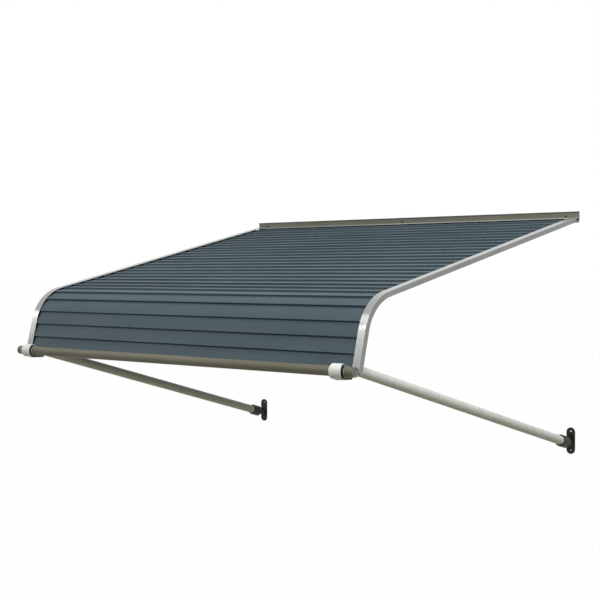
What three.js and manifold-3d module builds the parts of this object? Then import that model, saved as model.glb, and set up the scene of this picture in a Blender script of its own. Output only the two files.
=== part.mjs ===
// Aluminium door awning: a wall rail, stepped roof panels that hook into each other,
// two bent side rails, a round front bar and two stay arms with wall plates.
// Millimetres. X runs along the wall, Y points into the wall, Z is up.
// The origin lies on the flat back of the wall rail, half way along it.

import * as THREE from 'three';
import { mergeVertices } from 'three/addons/utils/BufferGeometryUtils.js';
import Module from 'manifold-3d';

const wasm = await Module();
wasm.setup();

// Overall form
const WIDTH = 1371.6;
const PROJECTION = 1032.3;
const ROOF_FALL = THREE.MathUtils.degToRad(13.11);
const DROP_LEAN = THREE.MathUtils.degToRad(14.1);
const ROOF_RISE = 8.4;
const CLEAR = 0.3;

// Stepped sheet panels
const SHEET = 1;
const STEP_HEIGHT = 6;
const STEP_LEAN = 0.6;
const STEPS = 4;
const ROOF_PANELS = 5;
const NOSE_STEP = 40.2;
const DROP_FIRST_STEP = 47;
const DROP_STEP = 41.6;
const BEND_AFTER_ROOF = 89.7;
const TONGUE = 6;
const TONGUE_HOOK = 2.2;
const LIP_HEM = 3.5;

// Side rails
const RAIL_WALL = 1.8;
const RAIL_DEPTH = 16;
const RAIL_FACE = 25;
const RAIL_SHELF = 37;
const RAIL_BEND = 131.5;
const RAIL_FOOT_DOWN = 6;
const PANEL_GAP = 0.4;

// Wall rail
const WEB = 2;
const WEB_TOP = 23.5;
const BEAD_DEPTH = 4.5;
const BEAD_HEIGHT = 2.5;
const HOOK_RADIUS = 8.5;
const HOOK_WALL = 1.8;
const HOOK_BITE = 4.5;
const HOOK_SINK = 2;
const HOOK_MOUTH_UP = THREE.MathUtils.degToRad(34);
const SCREW_HOLE = 5;
const SCREW_HOLE_DROP = 14.6;
const SCREW_HOLE_INSET = 46;

// Front bar, its end plugs, collars and saddles
const BAR_OD = 26;
const BAR_WALL = 1.5;
const BAR_OVERHANG = 2.2;
const BAR_DOWN = 8.4;
const PLUG_STEM = 14;
const PLUG_LIP = 1.5;
const PLUG_RIM = 1.8;
const PLUG_DISH = 0.8;
const COLLAR_OD = 40;
const COLLAR_WALL = 2.2;
const COLLAR_LENGTH = 39.3;
const COLLAR_INSET = 28.2;
const COLLAR_HUB = 2;
const COLLAR_HUB_RECESS = 3;
const COLLAR_WEB = 8;
const COLLAR_CHAMFER = 1.2;
const SADDLE_WIDTH = 8;
const SADDLE_HEIGHT = 14;

// Front clips: a keel under the collar and the panel's lip, a flange behind the panel
// and a spigot inside the arm
const KEEL_INSET = 6;
const KEEL_TOP = 1.2;
const KEEL_TAIL = 46;
const KEEL_TAIL_DEEP = 13;
const KEEL_TAIL_ROUND = 6;
const KEEL_BELOW_COLLAR = 1;
const KEEL_HUG = THREE.MathUtils.degToRad(75);
const FLANGE_CLEAR = 0.6;
const FLANGE_THICK = 5.2;
const GUSSET_DEEP = 9;
const SPIGOT_LENGTH = 28;
const SPIGOT_CHAMFER = 1.5;

// Stay arms, their wall sockets and pins
const ARM_OD = 28;
const ARM_WALL = 1.5;
const ARM_INSET = 25.8;
const ARM_ABOVE_FOOT = 9.5;
const SOCKET_WALL = 4.2;
const SOCKET_LENGTH = 37;
const SOCKET_FLOOR = 5;
const SOCKET_SHOULDER = 8;
const SOCKET_NECK_RADIUS = 9;
const SOCKET_START = 13;
const SOCKET_CHAMFER = 1.5;
const LUG_RADIUS = 8;
const LUG_THICK = 9;
const EAR = 4;
const PIN_OD = 6;
const PIN_HEAD_OD = 10;
const PIN_HEAD = 2;

// Wall plates
const PLATE_WIDTH = 29;
const PLATE_HEIGHT = 83;
const PLATE_THICK = 5;
const PLATE_PIN_OUT = 20;
const PLATE_PIN_DROP = 696;
const PLATE_RISE = 5.5;
const PLATE_HOLE = 5.5;
const PLATE_HOLE_SPAN = 59;
const PAD_WIDTH = 19;
const PAD_HEIGHT = 22;
const PAD_DEPTH = 1.2;

// Facets
const ROUND = 32;
const SMALL_ROUND = 16;
const BEND_FACETS = 14;
const BAND_FACETS = 4;

const paint = { color: 0x4a585e, roughness: 0.5, metalness: 0.25 };
const mill = { color: 0xb4b6b6, roughness: 0.38, metalness: 0.9 };
const dull = { color: 0x8f8a7d, roughness: 0.42, metalness: 0.85 };
const white = { color: 0xe6e2da, roughness: 0.45, metalness: 0 };
const charcoal = { color: 0x2a2c2e, roughness: 0.55, metalness: 0 };
const steel = { color: 0x9a9c9e, roughness: 0.35, metalness: 1 };

// Solids and meshes

function solidOf(geometry) {
  const bare = geometry.index ? geometry.toNonIndexed() : geometry.clone();
  bare.deleteAttribute('normal');
  bare.deleteAttribute('uv');
  const merged = mergeVertices(bare, 1e-4);
  return new wasm.Manifold(new wasm.Mesh({
    numProp: 3,
    vertProperties: new Float32Array(merged.attributes.position.array),
    triVerts: new Uint32Array(merged.index.array),
  }));
}

function geometryOf(solid) {
  const mesh = solid.getMesh();
  const geometry = new THREE.BufferGeometry();
  geometry.setAttribute('position', new THREE.BufferAttribute(mesh.vertProperties, 3));
  geometry.setIndex(new THREE.BufferAttribute(mesh.triVerts, 1));
  geometry.computeVertexNormals();
  return geometry;
}

function addPiece(parent, name, shape, look) {
  const geometry = shape.isBufferGeometry ? shape : geometryOf(shape);
  const mesh = new THREE.Mesh(geometry, new THREE.MeshStandardMaterial(look));
  mesh.name = name;
  parent.add(mesh);
  return mesh;
}

// A closed outline of [y, z] points, extruded along X from x0 to x1
function prismX(outline, x0, x1) {
  const shape = new THREE.Shape(outline.map(([y, z]) => new THREE.Vector2(y, z)));
  const geometry = new THREE.ExtrudeGeometry(shape, { depth: x1 - x0, bevelEnabled: false });
  const turn = new THREE.Matrix4().makeBasis(
    new THREE.Vector3(0, 1, 0), new THREE.Vector3(0, 0, 1), new THREE.Vector3(1, 0, 0));
  geometry.applyMatrix4(turn);
  geometry.translate(x0, 0, 0);
  return geometry;
}

// A closed profile of [radius, along] points, revolved about the Y axis
function revolveY(profile, facets = ROUND) {
  return new THREE.LatheGeometry(profile.map(([r, y]) => new THREE.Vector2(r, y)), facets);
}

function revolveX(profile, facets = ROUND) {
  return revolveY(profile, facets).rotateZ(-Math.PI / 2);
}

function rodX(radius, x0, x1, facets = SMALL_ROUND) {
  return revolveX([[0, x0], [radius, x0], [radius, x1], [0, x1]], facets);
}

function arc(cy, cz, radius, from, to, facets) {
  const points = [];
  for (let i = 0; i <= facets; i += 1) {
    const a = from + (to - from) * i / facets;
    points.push([cy + radius * Math.cos(a), cz + radius * Math.sin(a)]);
  }
  return points;
}

// Side view of the awning: the outer face of the side rails, roof then drop.
// u runs down the roof face from the wall, v down the drop face from the corner
// where the two faces would meet, h is the height above the face.

const BEND = Math.PI / 2 - ROOF_FALL - DROP_LEAN;
const HALF_BEND = Math.tan(BEND / 2);
const roofAlong = [-Math.cos(ROOF_FALL), -Math.sin(ROOF_FALL)];
const roofOut = [-Math.sin(ROOF_FALL), Math.cos(ROOF_FALL)];
const dropAlong = [-Math.sin(DROP_LEAN), -Math.cos(DROP_LEAN)];
const dropOut = [-Math.cos(DROP_LEAN), Math.sin(DROP_LEAN)];

function step2(start, along, distance, out, height) {
  return [0, 1].map((i) => start[i] + along[i] * distance + out[i] * height);
}

function roofPoint(u, h) {
  return step2([0, ROOF_RISE], roofAlong, u, roofOut, h);
}

// The panels lie a little below the face flange of the rails
const CREST = -(RAIL_WALL + PANEL_GAP);
const SHEET_BASE = CREST - STEP_HEIGHT;
const SHELF_TOP = SHEET_BASE - SHEET - CLEAR;
const SHELF_BACK = SHELF_TOP - RAIL_WALL;

// First step at the mouth of the wall rail's hook, then the roof, nose and drop panels
const firstStep = (2 * HOOK_RADIUS - HOOK_BITE) / Math.cos(ROOF_FALL);
const bendTangent = RAIL_BEND * HALF_BEND;
const bendStart = PROJECTION / Math.cos(ROOF_FALL) - bendTangent;
const roofLip = bendStart - BEND_AFTER_ROOF;
const roofStep = (roofLip - firstStep) / (ROOF_PANELS * STEPS);
const noseLip = roofLip + STEPS * NOSE_STEP;
const footLip = noseLip + DROP_FIRST_STEP + (STEPS - 1) * DROP_STEP;
const corner = roofPoint(bendStart + bendTangent, 0);
const bendCentre = roofPoint(bendStart, -RAIL_BEND);

// The wall rail's hook stands round the first panel's tongue, its lower jaw just under the sheet
const hookY = -HOOK_RADIUS;
const hookZ = roofPoint(HOOK_RADIUS / Math.cos(ROOF_FALL), SHEET_BASE)[1] - HOOK_SINK;
const hookBore = HOOK_RADIUS - HOOK_WALL;
const jawTop = roofPoint(firstStep + HOOK_BITE, SHEET_BASE - SHEET)[1] - CLEAR;
const mouthDown = Math.asin((hookZ - jawTop) / hookBore);

function dropPoint(v, h) {
  return step2(corner, dropAlong, v, dropOut, h);
}

function bendPoint(angle, h) {
  const reach = RAIL_BEND + h;
  return step2(bendCentre, roofOut, Math.cos(angle) * reach, roofAlong, Math.sin(angle) * reach);
}

// The panel line: w runs along the crests from the wall, over the bend and down the drop
const crestRadius = RAIL_BEND + CREST;

function dropAt(w) {
  return bendTangent + w - bendStart - crestRadius * BEND;
}

function sheetPoint([w, h]) {
  const turned = (w - bendStart) / crestRadius;
  if (turned <= 0) return roofPoint(w, CREST + h);
  if (turned < BEND) return bendPoint(turned, CREST + h);
  return dropPoint(dropAt(w), CREST + h);
}

// The collars turn on the bar just clear of the panels
const barOut = COLLAR_OD / 2 + CREST + CLEAR;
const barDrop = dropAt(footLip) + BAR_DOWN;
const barCentre = dropPoint(barDrop, barOut);
const railFoot = dropAt(footLip) + RAIL_FOOT_DOWN;
const footAboveBar = barDrop - railFoot;
const railHalf = WIDTH / 2;
const barHalf = railHalf + BAR_OVERHANG;
const collarX = railHalf - COLLAR_INSET - COLLAR_LENGTH / 2;

// Stepped panels

// Sheet of even thickness: offsets an open outer line to its inner side
function sheetOutline(line) {
  const inner = line.map((p, i) => {
    const before = line[Math.max(i - 1, 0)];
    const after = line[Math.min(i + 1, line.length - 1)];
    const normal = ([a, b]) => {
      const length = Math.hypot(b[0] - a[0], b[1] - a[1]);
      return [-(b[1] - a[1]) / length, (b[0] - a[0]) / length];
    };
    const first = i > 0 ? normal([before, p]) : normal([p, after]);
    const second = i < line.length - 1 ? normal([p, after]) : first;
    const scale = SHEET / (1 + first[0] * second[0] + first[1] * second[1]);
    return [p[0] + (first[0] + second[0]) * scale, p[1] + (first[1] + second[1]) * scale];
  });
  return [...line, ...inner.reverse()];
}

// One panel: a tongue with an upturned hook, the steps, and a hemmed front lip
function panelLine(steps) {
  const start = steps[0];
  const end = steps[steps.length - 1];
  const bendEnd = bendStart + crestRadius * BEND;
  const line = [
    [start - TONGUE, TONGUE_HOOK - STEP_HEIGHT],
    [start - TONGUE, -STEP_HEIGHT],
    [start + STEP_LEAN, -STEP_HEIGHT],
  ];
  for (let i = 1; i < steps.length; i += 1) {
    const from = steps[i - 1] + STEP_LEAN;
    const curved = steps[i] > bendStart && from < bendEnd;
    const facets = curved ? BAND_FACETS : 1;
    for (let k = 1; k <= facets; k += 1) {
      line.push([from + (steps[i] - from) * k / facets, STEP_HEIGHT * (k / facets - 1)]);
    }
    if (steps[i] < end) line.push([steps[i] + STEP_LEAN, -STEP_HEIGHT]);
  }
  line.push([end + STEP_LEAN, CLEAR - STEP_HEIGHT], [end - LIP_HEM, CLEAR - STEP_HEIGHT]);
  return line;
}

function panel(steps) {
  const half = railHalf - RAIL_WALL - CLEAR;
  return prismX(sheetOutline(panelLine(steps).map(sheetPoint)), -half, half);
}

function evenSteps(start, pitch, count) {
  return Array.from({ length: count + 1 }, (_, k) => start + k * pitch);
}

function buildPanels(group) {
  for (let i = 0; i < ROOF_PANELS; i += 1) {
    const steps = evenSteps(firstStep + i * STEPS * roofStep, roofStep, STEPS);
    addPiece(group, `roof_panel_${i + 1}`, panel(steps), paint);
  }
  addPiece(group, 'nose_panel', panel(evenSteps(roofLip, NOSE_STEP, STEPS)), paint);
  const drop = evenSteps(noseLip + DROP_FIRST_STEP, DROP_STEP, STEPS - 1);
  addPiece(group, 'drop_panel', panel([noseLip, ...drop]), paint);
}

// Side rails

// The rails start against the jaws of the wall rail's hook
const hookRun = hookY * roofAlong[0] + (hookZ - ROOF_RISE) * roofAlong[1];
const jawNear = Math.cos(Math.max(mouthDown - ROOF_FALL, 0));
const railStart = hookRun + HOOK_RADIUS * jawNear + CLEAR;

function railStrip(top, bottom) {
  const edge = (h) => {
    const points = [roofPoint(railStart, h)];
    for (let i = 0; i <= BEND_FACETS; i += 1) {
      points.push(bendPoint(BEND * i / BEND_FACETS, h));
    }
    return [...points, dropPoint(railFoot, h)];
  };
  return [...edge(bottom), ...edge(top).reverse()];
}

function sideRail(side) {
  const strip = (top, bottom, inner) => {
    const ends = [side * railHalf, side * (railHalf - inner)];
    return solidOf(prismX(railStrip(top, bottom), Math.min(...ends), Math.max(...ends)));
  };
  return strip(0, -RAIL_DEPTH, RAIL_WALL)
    .add(strip(0, -RAIL_WALL, RAIL_FACE))
    .add(strip(SHELF_TOP, SHELF_BACK, RAIL_SHELF));
}

// Wall rail: flat web with a top bead, and an open hook for the first panel

function wallRail() {
  const web = [
    [0, hookZ - HOOK_RADIUS], [0, WEB_TOP], [-BEAD_DEPTH, WEB_TOP],
    [-BEAD_DEPTH, WEB_TOP - BEAD_HEIGHT], [-WEB, WEB_TOP - BEAD_HEIGHT], [-WEB, hookZ - HOOK_RADIUS],
  ];
  const from = mouthDown - Math.PI;
  const to = Math.PI - HOOK_MOUTH_UP;
  const hook = [
    ...arc(hookY, hookZ, HOOK_RADIUS, from, to, SMALL_ROUND),
    ...arc(hookY, hookZ, hookBore, to, from, SMALL_ROUND),
  ];
  let rail = solidOf(prismX(web, -railHalf, railHalf)).add(solidOf(prismX(hook, -railHalf, railHalf)));
  for (const x of [-railHalf + SCREW_HOLE_INSET, 0, railHalf - SCREW_HOLE_INSET]) {
    const hole = revolveY([
      [0, -BEAD_DEPTH], [SCREW_HOLE / 2, -BEAD_DEPTH], [SCREW_HOLE / 2, WEB], [0, WEB],
    ], SMALL_ROUND);
    hole.translate(x, 0, WEB_TOP - SCREW_HOLE_DROP);
    rail = rail.subtract(solidOf(hole));
  }
  return rail;
}

// Front bar

function tubeProfile(outer, wall, from, to) {
  const inner = outer - wall;
  return [[inner, from], [outer, from], [outer, to], [inner, to], [inner, from]];
}

// Plug for the bar's open end, with a dished head
function barPlug() {
  const stem = BAR_OD / 2 - BAR_WALL - CLEAR;
  const head = BAR_OD / 2;
  const face = CLEAR + PLUG_LIP;
  return revolveX([
    [0, -PLUG_STEM], [stem, -PLUG_STEM], [stem, CLEAR], [head, CLEAR], [head, face],
    [head - PLUG_RIM, face], [head - PLUG_RIM - PLUG_DISH, face - PLUG_DISH], [0, face - PLUG_DISH],
  ]);
}

// Collar: an open-ended shell joined to an inner hub by a web half way along
function collar() {
  const end = COLLAR_LENGTH / 2;
  const outer = COLLAR_OD / 2;
  const shell = outer - COLLAR_WALL;
  const bore = BAR_OD / 2 + CLEAR;
  const hub = bore + COLLAR_HUB;
  const hubEnd = end - COLLAR_HUB_RECESS;
  const web = COLLAR_WEB / 2;
  const half = [
    [bore, hubEnd], [hub, hubEnd], [hub, web], [shell, web],
    [shell, end], [outer - COLLAR_CHAMFER, end], [outer, end - COLLAR_CHAMFER],
  ];
  const other = half.map(([r, x]) => [r, -x]).reverse();
  return revolveX([...half, ...other, half[0]].reverse());
}

// Saddle between a rail's face and the bar, about the bar's axis with the rail towards +Y
function saddle() {
  const bed = BAR_OD / 2 + CLEAR;
  const spread = Math.asin(SADDLE_HEIGHT / 2 / bed);
  const face = barOut - CLEAR;
  return prismX([
    [face, -SADDLE_HEIGHT / 2], [face, SADDLE_HEIGHT / 2],
    ...arc(0, 0, bed, spread, -spread, SMALL_ROUND / 2),
  ], -SADDLE_WIDTH / 2, SADDLE_WIDTH / 2);
}

function buildBar(group) {
  const line = new THREE.Group();
  line.position.set(0, barCentre[0], barCentre[1]);
  addPiece(line, 'front_bar', revolveX(tubeProfile(BAR_OD / 2, BAR_WALL, -barHalf, barHalf)), dull);
  for (const [name, side] of [['left', -1], ['right', 1]]) {
    const plug = addPiece(line, `bar_plug_${name}`, barPlug(), charcoal);
    plug.position.x = side * barHalf;
    plug.rotation.z = side > 0 ? 0 : Math.PI;
    const ring = addPiece(line, `collar_${name}`, collar(), white);
    ring.position.x = side * collarX;
    const block = addPiece(line, `bar_saddle_${name}`, saddle(), mill);
    block.position.x = side * (railHalf - SADDLE_WIDTH / 2);
    block.rotation.x = -DROP_LEAN;
  }
  group.add(line);
}

// Stay arms. The front flange sits behind the shelf of the rail, the wall pin in front of
// the wall plate, and the arm takes its length and fall from the two.

const flangeBack = barOut - SHELF_BACK + FLANGE_CLEAR;
const armStart = dropPoint(railFoot - ARM_ABOVE_FOOT, barOut - flangeBack);
const wallPin = [-PLATE_PIN_OUT, -PLATE_PIN_DROP];
const armSpan = Math.hypot(wallPin[0] - armStart[0], wallPin[1] - armStart[1]);
const armFall = Math.atan2(wallPin[1] - armStart[1], wallPin[0] - armStart[0]);
const armX = railHalf - ARM_INSET;
const earGap = LUG_THICK / 2 + CLEAR;
const earOuter = earGap + EAR;
const pinHole = PIN_OD / 2 + CLEAR;

// Front clip, about the bar's axis, square to the drop with the rail towards +Y
function frontClip(side) {
  const keelInner = collarX - COLLAR_LENGTH / 2 + KEEL_INSET;
  const keelOuter = armX - ARM_OD / 2 - FLANGE_CLEAR;
  const bed = COLLAR_OD / 2 + CLEAR;
  const low = -COLLAR_OD / 2 - KEEL_BELOW_COLLAR;
  const round = KEEL_TAIL_ROUND;
  const tail = arc(KEEL_TAIL - round, round - KEEL_TAIL_DEEP, round, -Math.PI / 2, 0, SMALL_ROUND / 4);
  const keel = prismX([
    ...arc(0, 0, bed, Math.asin(KEEL_TOP / bed), -KEEL_HUG, SMALL_ROUND),
    [bed * Math.cos(KEEL_HUG), low], ...tail, [KEEL_TAIL, KEEL_TOP],
  ], ...[side * keelInner, side * keelOuter].sort((a, b) => a - b));

  // Flange, gusset and spigot, along the arm
  const axisUp = ARM_ABOVE_FOOT + footAboveBar;
  const spigot = ARM_OD / 2 - ARM_WALL - CLEAR;
  const tip = FLANGE_THICK + SPIGOT_LENGTH;
  const stub = revolveY([
    [0, 0], [ARM_OD / 2, 0], [ARM_OD / 2, FLANGE_THICK], [spigot, FLANGE_THICK],
    [spigot, tip - SPIGOT_CHAMFER], [spigot - SPIGOT_CHAMFER, tip], [0, tip],
  ]);
  const inward = keelInner - armX;
  const shape = new THREE.Shape([
    [0, ARM_OD / 2], [0, -ARM_OD / 2], [inward, -GUSSET_DEEP - axisUp], [inward, KEEL_TOP - axisUp],
  ].map(([x, z]) => new THREE.Vector2(side * x, z)));
  const gusset = new THREE.ExtrudeGeometry(shape, { depth: FLANGE_THICK, bevelEnabled: false });
  gusset.rotateX(Math.PI / 2).translate(0, FLANGE_THICK, 0);
  const place = (geometry) => solidOf(geometry.rotateX(armFall + DROP_LEAN)
    .translate(side * armX, flangeBack, axisUp));
  return solidOf(keel).add(place(stub)).add(place(gusset));
}

// Socket: a cup for the arm's end with a flat lug on the pin, mouth towards +Y
function socket() {
  const bore = ARM_OD / 2 + CLEAR;
  const floor = SOCKET_START + SOCKET_SHOULDER + SOCKET_FLOOR;
  const outer = bore + SOCKET_WALL;
  const mouth = SOCKET_START + SOCKET_LENGTH;
  const cup = solidOf(revolveY([
    [0, SOCKET_START], [SOCKET_NECK_RADIUS, SOCKET_START], [outer, SOCKET_START + SOCKET_SHOULDER],
    [outer, mouth - SOCKET_CHAMFER], [outer - SOCKET_CHAMFER, mouth], [bore, mouth],
    [bore, floor], [0, floor],
  ]));
  const root = SOCKET_START + SOCKET_SHOULDER;
  const outline = [[root, -LUG_RADIUS], [root, LUG_RADIUS],
    ...arc(0, 0, LUG_RADIUS, Math.PI / 2, 3 * Math.PI / 2, SMALL_ROUND / 2)];
  const lug = solidOf(prismX(outline, -LUG_THICK / 2, LUG_THICK / 2));
  const bored = solidOf(rodX(pinHole, -LUG_THICK, LUG_THICK));
  return cup.add(lug).subtract(bored);
}

function pin() {
  const reach = earOuter + CLEAR;
  return revolveX([
    [0, -reach - PIN_HEAD], [PIN_HEAD_OD / 2 - PIN_HEAD / 2, -reach - PIN_HEAD],
    [PIN_HEAD_OD / 2, -reach - PIN_HEAD / 2], [PIN_HEAD_OD / 2, -reach],
    [PIN_OD / 2, -reach], [PIN_OD / 2, reach], [PIN_HEAD_OD / 2, reach],
    [PIN_HEAD_OD / 2, reach + PIN_HEAD / 2], [PIN_HEAD_OD / 2 - PIN_HEAD / 2, reach + PIN_HEAD],
    [0, reach + PIN_HEAD],
  ], SMALL_ROUND);
}

// Two ears round a pin at the origin, reaching back to a base at the distance given
function ears(base) {
  const outline = [
    [-base, -LUG_RADIUS],
    ...arc(0, 0, LUG_RADIUS, -Math.PI / 2, Math.PI / 2, SMALL_ROUND / 2),
    [-base, LUG_RADIUS],
  ];
  const bored = solidOf(rodX(pinHole, -2 * earOuter, 2 * earOuter));
  return solidOf(prismX(outline, earGap, earOuter))
    .add(solidOf(prismX(outline, -earOuter, -earGap)))
    .subtract(bored);
}

// An upright outline with round ends, extruded along Y
function slotPrism(width, height, y0, y1, z) {
  const shape = new THREE.Shape();
  const straight = height / 2 - width / 2;
  shape.absarc(0, straight, width / 2, 0, Math.PI, false);
  shape.absarc(0, -straight, width / 2, Math.PI, 2 * Math.PI, false);
  const geometry = new THREE.ExtrudeGeometry(shape, {
    depth: y1 - y0, bevelEnabled: false, curveSegments: SMALL_ROUND,
  });
  return geometry.rotateX(Math.PI / 2).translate(0, y1, z);
}

// Wall plate, modelled about its pin: round-ended plate, sunk pads, screw holes and ears
function wallPlate() {
  const back = PLATE_PIN_OUT;
  const face = back - PLATE_THICK;
  let plate = solidOf(slotPrism(PLATE_WIDTH, PLATE_HEIGHT, face, back, PLATE_RISE));
  for (const end of [-1, 1]) {
    const z = PLATE_RISE + end * PLATE_HOLE_SPAN / 2;
    plate = plate.subtract(solidOf(slotPrism(PAD_WIDTH, PAD_HEIGHT, face - PAD_DEPTH, face + PAD_DEPTH, z)));
    const hole = revolveY([[0, face - PLATE_THICK], [PLATE_HOLE / 2, face - PLATE_THICK],
      [PLATE_HOLE / 2, back + PLATE_THICK], [0, back + PLATE_THICK]], SMALL_ROUND);
    plate = plate.subtract(solidOf(hole.translate(0, 0, z)));
  }
  const turned = ears(face + PLATE_THICK / 2).rotate([0, 0, 180]);
  return plate.add(turned);
}

function buildArm(group, name, side) {
  const front = new THREE.Group();
  front.position.set(0, barCentre[0], barCentre[1]);
  const clip = addPiece(front, `front_clip_${name}`, frontClip(side), charcoal);
  clip.rotation.x = -DROP_LEAN;
  group.add(front);

  const arm = new THREE.Group();
  arm.position.set(side * armX, armStart[0], armStart[1]);
  arm.rotation.x = armFall;
  const tubeEnd = armSpan - SOCKET_START - SOCKET_SHOULDER - SOCKET_FLOOR - CLEAR;
  const tube = revolveY(tubeProfile(ARM_OD / 2, ARM_WALL, FLANGE_THICK + CLEAR, tubeEnd));
  addPiece(arm, `arm_tube_${name}`, tube, mill);
  const rear = addPiece(arm, `wall_socket_${name}`, socket(), charcoal);
  rear.position.y = armSpan;
  rear.rotation.z = Math.PI;
  group.add(arm);

  const wall = new THREE.Group();
  wall.position.set(side * armX, wallPin[0], wallPin[1]);
  addPiece(wall, `wall_plate_${name}`, wallPlate(), charcoal);
  addPiece(wall, `wall_pin_${name}`, pin(), steel);
  group.add(wall);
}

const awning = new THREE.Group();
addPiece(awning, 'wall_rail', wallRail(), mill);
buildPanels(awning);
addPiece(awning, 'side_rail_left', sideRail(-1), mill);
addPiece(awning, 'side_rail_right', sideRail(1), mill);
buildBar(awning);
buildArm(awning, 'left', -1);
buildArm(awning, 'right', 1);

export default awning;
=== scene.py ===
import math

import bmesh
import bpy
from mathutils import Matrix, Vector


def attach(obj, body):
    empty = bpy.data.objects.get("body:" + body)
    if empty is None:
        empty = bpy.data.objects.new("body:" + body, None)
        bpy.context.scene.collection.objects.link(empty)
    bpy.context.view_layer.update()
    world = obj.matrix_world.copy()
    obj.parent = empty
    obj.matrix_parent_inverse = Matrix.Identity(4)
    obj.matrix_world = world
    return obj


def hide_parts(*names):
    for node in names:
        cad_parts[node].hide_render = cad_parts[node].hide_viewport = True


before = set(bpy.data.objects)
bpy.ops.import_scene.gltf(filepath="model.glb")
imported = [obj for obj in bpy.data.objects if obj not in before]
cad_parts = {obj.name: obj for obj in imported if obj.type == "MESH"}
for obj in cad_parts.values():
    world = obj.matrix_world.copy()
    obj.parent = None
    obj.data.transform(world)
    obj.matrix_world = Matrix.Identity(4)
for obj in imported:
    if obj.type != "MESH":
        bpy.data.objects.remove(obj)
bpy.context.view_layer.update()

# Sizes in metres: those of the solids, and of the small forms that only this scene has
MM = 0.001
WIDTH = 1371.6 * MM
PROJECTION = 1032.3 * MM
ROOF_FALL = math.radians(13.11)
DROP_LEAN = math.radians(14.1)
ROOF_RISE = 8.4 * MM
CLEAR = 0.3 * MM

SHEET = 1.0 * MM
STEP_HEIGHT = 6 * MM
STEP_LEAN = 0.6 * MM
STEPS = 4
ROOF_PANELS = 5
NOSE_STEP = 40.2 * MM
DROP_FIRST_STEP = 47 * MM
DROP_STEP = 41.6 * MM
BEND_AFTER_ROOF = 89.7 * MM
TONGUE = 6 * MM
TONGUE_HOOK = 2.2 * MM
LIP_HEM = 3.5 * MM

RAIL_WALL = 1.8 * MM
RAIL_DEPTH = 16 * MM
RAIL_FACE = 25 * MM
RAIL_LIP_ROUND = 1.2 * MM
RAIL_SHELF = 37 * MM
RAIL_BEND = 131.5 * MM
RAIL_FOOT_DOWN = 6 * MM
PANEL_GAP = 0.4 * MM
# the black strip that stands in for the shade under the rails' face flanges
SHADE_STRIP_SET_BACK = 0.2 * MM
SHADE_STRIP_WIDE = 6 * MM
SHADE_STRIP_CLEAR = 0.1 * MM

WEB = 2 * MM
WEB_TOP = 23.5 * MM
BEAD_DEPTH = 4.5 * MM
HOOK_RADIUS = 8.5 * MM
HOOK_WALL = 1.8 * MM
HOOK_BITE = 4.5 * MM
HOOK_SINK = 2 * MM
HOOK_MOUTH_UP = math.radians(34)
JAW_ROOT = math.radians(8)
SCREW_HOLE = 5 * MM
SCREW_HOLE_DROP = 14.6 * MM
SCREW_HOLE_INSET = 46 * MM
SCREW_SHANK = 4.4 * MM
SCREW_HEAD = 8.4 * MM
SCREW_DOME = 2.2 * MM
SCREW_CROSS = 1.1 * MM
SCREW_CROSS_DEEP = 1.2 * MM

BAR_OD = 26 * MM
BAR_WALL = 1.5 * MM
BAR_OVERHANG = 2.2 * MM
BAR_DOWN = 8.4 * MM
COLLAR_OD = 40 * MM
COLLAR_WALL = 2.2 * MM
COLLAR_LENGTH = 39.3 * MM
COLLAR_INSET = 28.2 * MM
COLLAR_SLANT = 0.37
COLLAR_WEB = 8 * MM
NECK_WALL = 0.8 * MM
NECK_OUT = 4.5 * MM
LIP_WALL = 1.7 * MM
LIP_LENGTH = 2.5 * MM
PLUG_STEM = 14 * MM
PLUG_LIP = 1.5 * MM
PLUG_RIM = 1.8 * MM
PLUG_DISH = 0.8 * MM

KEEL_INSET = 6 * MM
KEEL_TOP = 1.2 * MM
KEEL_TAIL = 46 * MM
KEEL_TAIL_DEEP = 13 * MM
KEEL_TAIL_ROUND = 6 * MM
KEEL_BELOW_COLLAR = 1 * MM
KEEL_END_ROUND = 8 * MM
KEEL_END_TURNS = tuple(map(math.radians, (22.5, 45, 67.5)))
KEEL_HUG = math.radians(75)
FLANGE_CLEAR = 0.6 * MM
FLANGE_THICK = 5.2 * MM
GUSSET_DEEP = 9 * MM
SPIGOT_LENGTH = 28 * MM

ARM_OD = 28 * MM
ARM_WALL = 1.5 * MM
ARM_INSET = 25.8 * MM
ARM_ABOVE_FOOT = 9.5 * MM
SOCKET_WALL = 4.2 * MM
SOCKET_LENGTH = 37 * MM
SOCKET_FLOOR = 5 * MM
SOCKET_SHOULDER = 8 * MM
SOCKET_BACK = 15.5 * MM
SOCKET_ROUND = 3 * MM
SOCKET_START = 13 * MM
LUG_RADIUS = 8 * MM
LUG_THICK = 9 * MM
EAR = 4 * MM
EAR_ROOT = 11.5 * MM
PIN_OD = 6 * MM
PIN_HEAD_OD = 10 * MM
PIN_HEAD = 2 * MM

PLATE_WIDTH = 29 * MM
PLATE_HEIGHT = 83 * MM
PLATE_THICK = 5 * MM
PLATE_PIN_OUT = 20 * MM
PLATE_PIN_DROP = 696 * MM
PLATE_RISE = 5.5 * MM
PLATE_HOLE_TOP = 5.5 * MM
PLATE_HOLE_LOW = 4 * MM
PLATE_HOLE_SPAN = 59 * MM
PAD_WIDTH = 19 * MM
PAD_HEIGHT = 22 * MM
PAD_DEPTH = 1.2 * MM

# Widths of the rounded edges
FOLD_EDGE = 0.45 * MM
RAIL_EDGE = 0.5 * MM
WALL_RAIL_EDGE = 0.35 * MM
COLLAR_EDGE = 0.9 * MM
RING_EDGE = 0.25 * MM
TUBE_EDGE = 0.3 * MM
PLUG_EDGE = 0.35 * MM
KEEL_EDGE = 1.2 * MM
STUB_EDGE = 0.8 * MM
SOCKET_EDGE = 1.2 * MM
LUG_EDGE = 0.6 * MM
PLATE_EDGE = 1.0 * MM
RIVET_EDGE = 0.3 * MM
# Sheets and rails are shaded smooth up to this angle in degrees
SHEET_SMOOTH = 30

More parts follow.
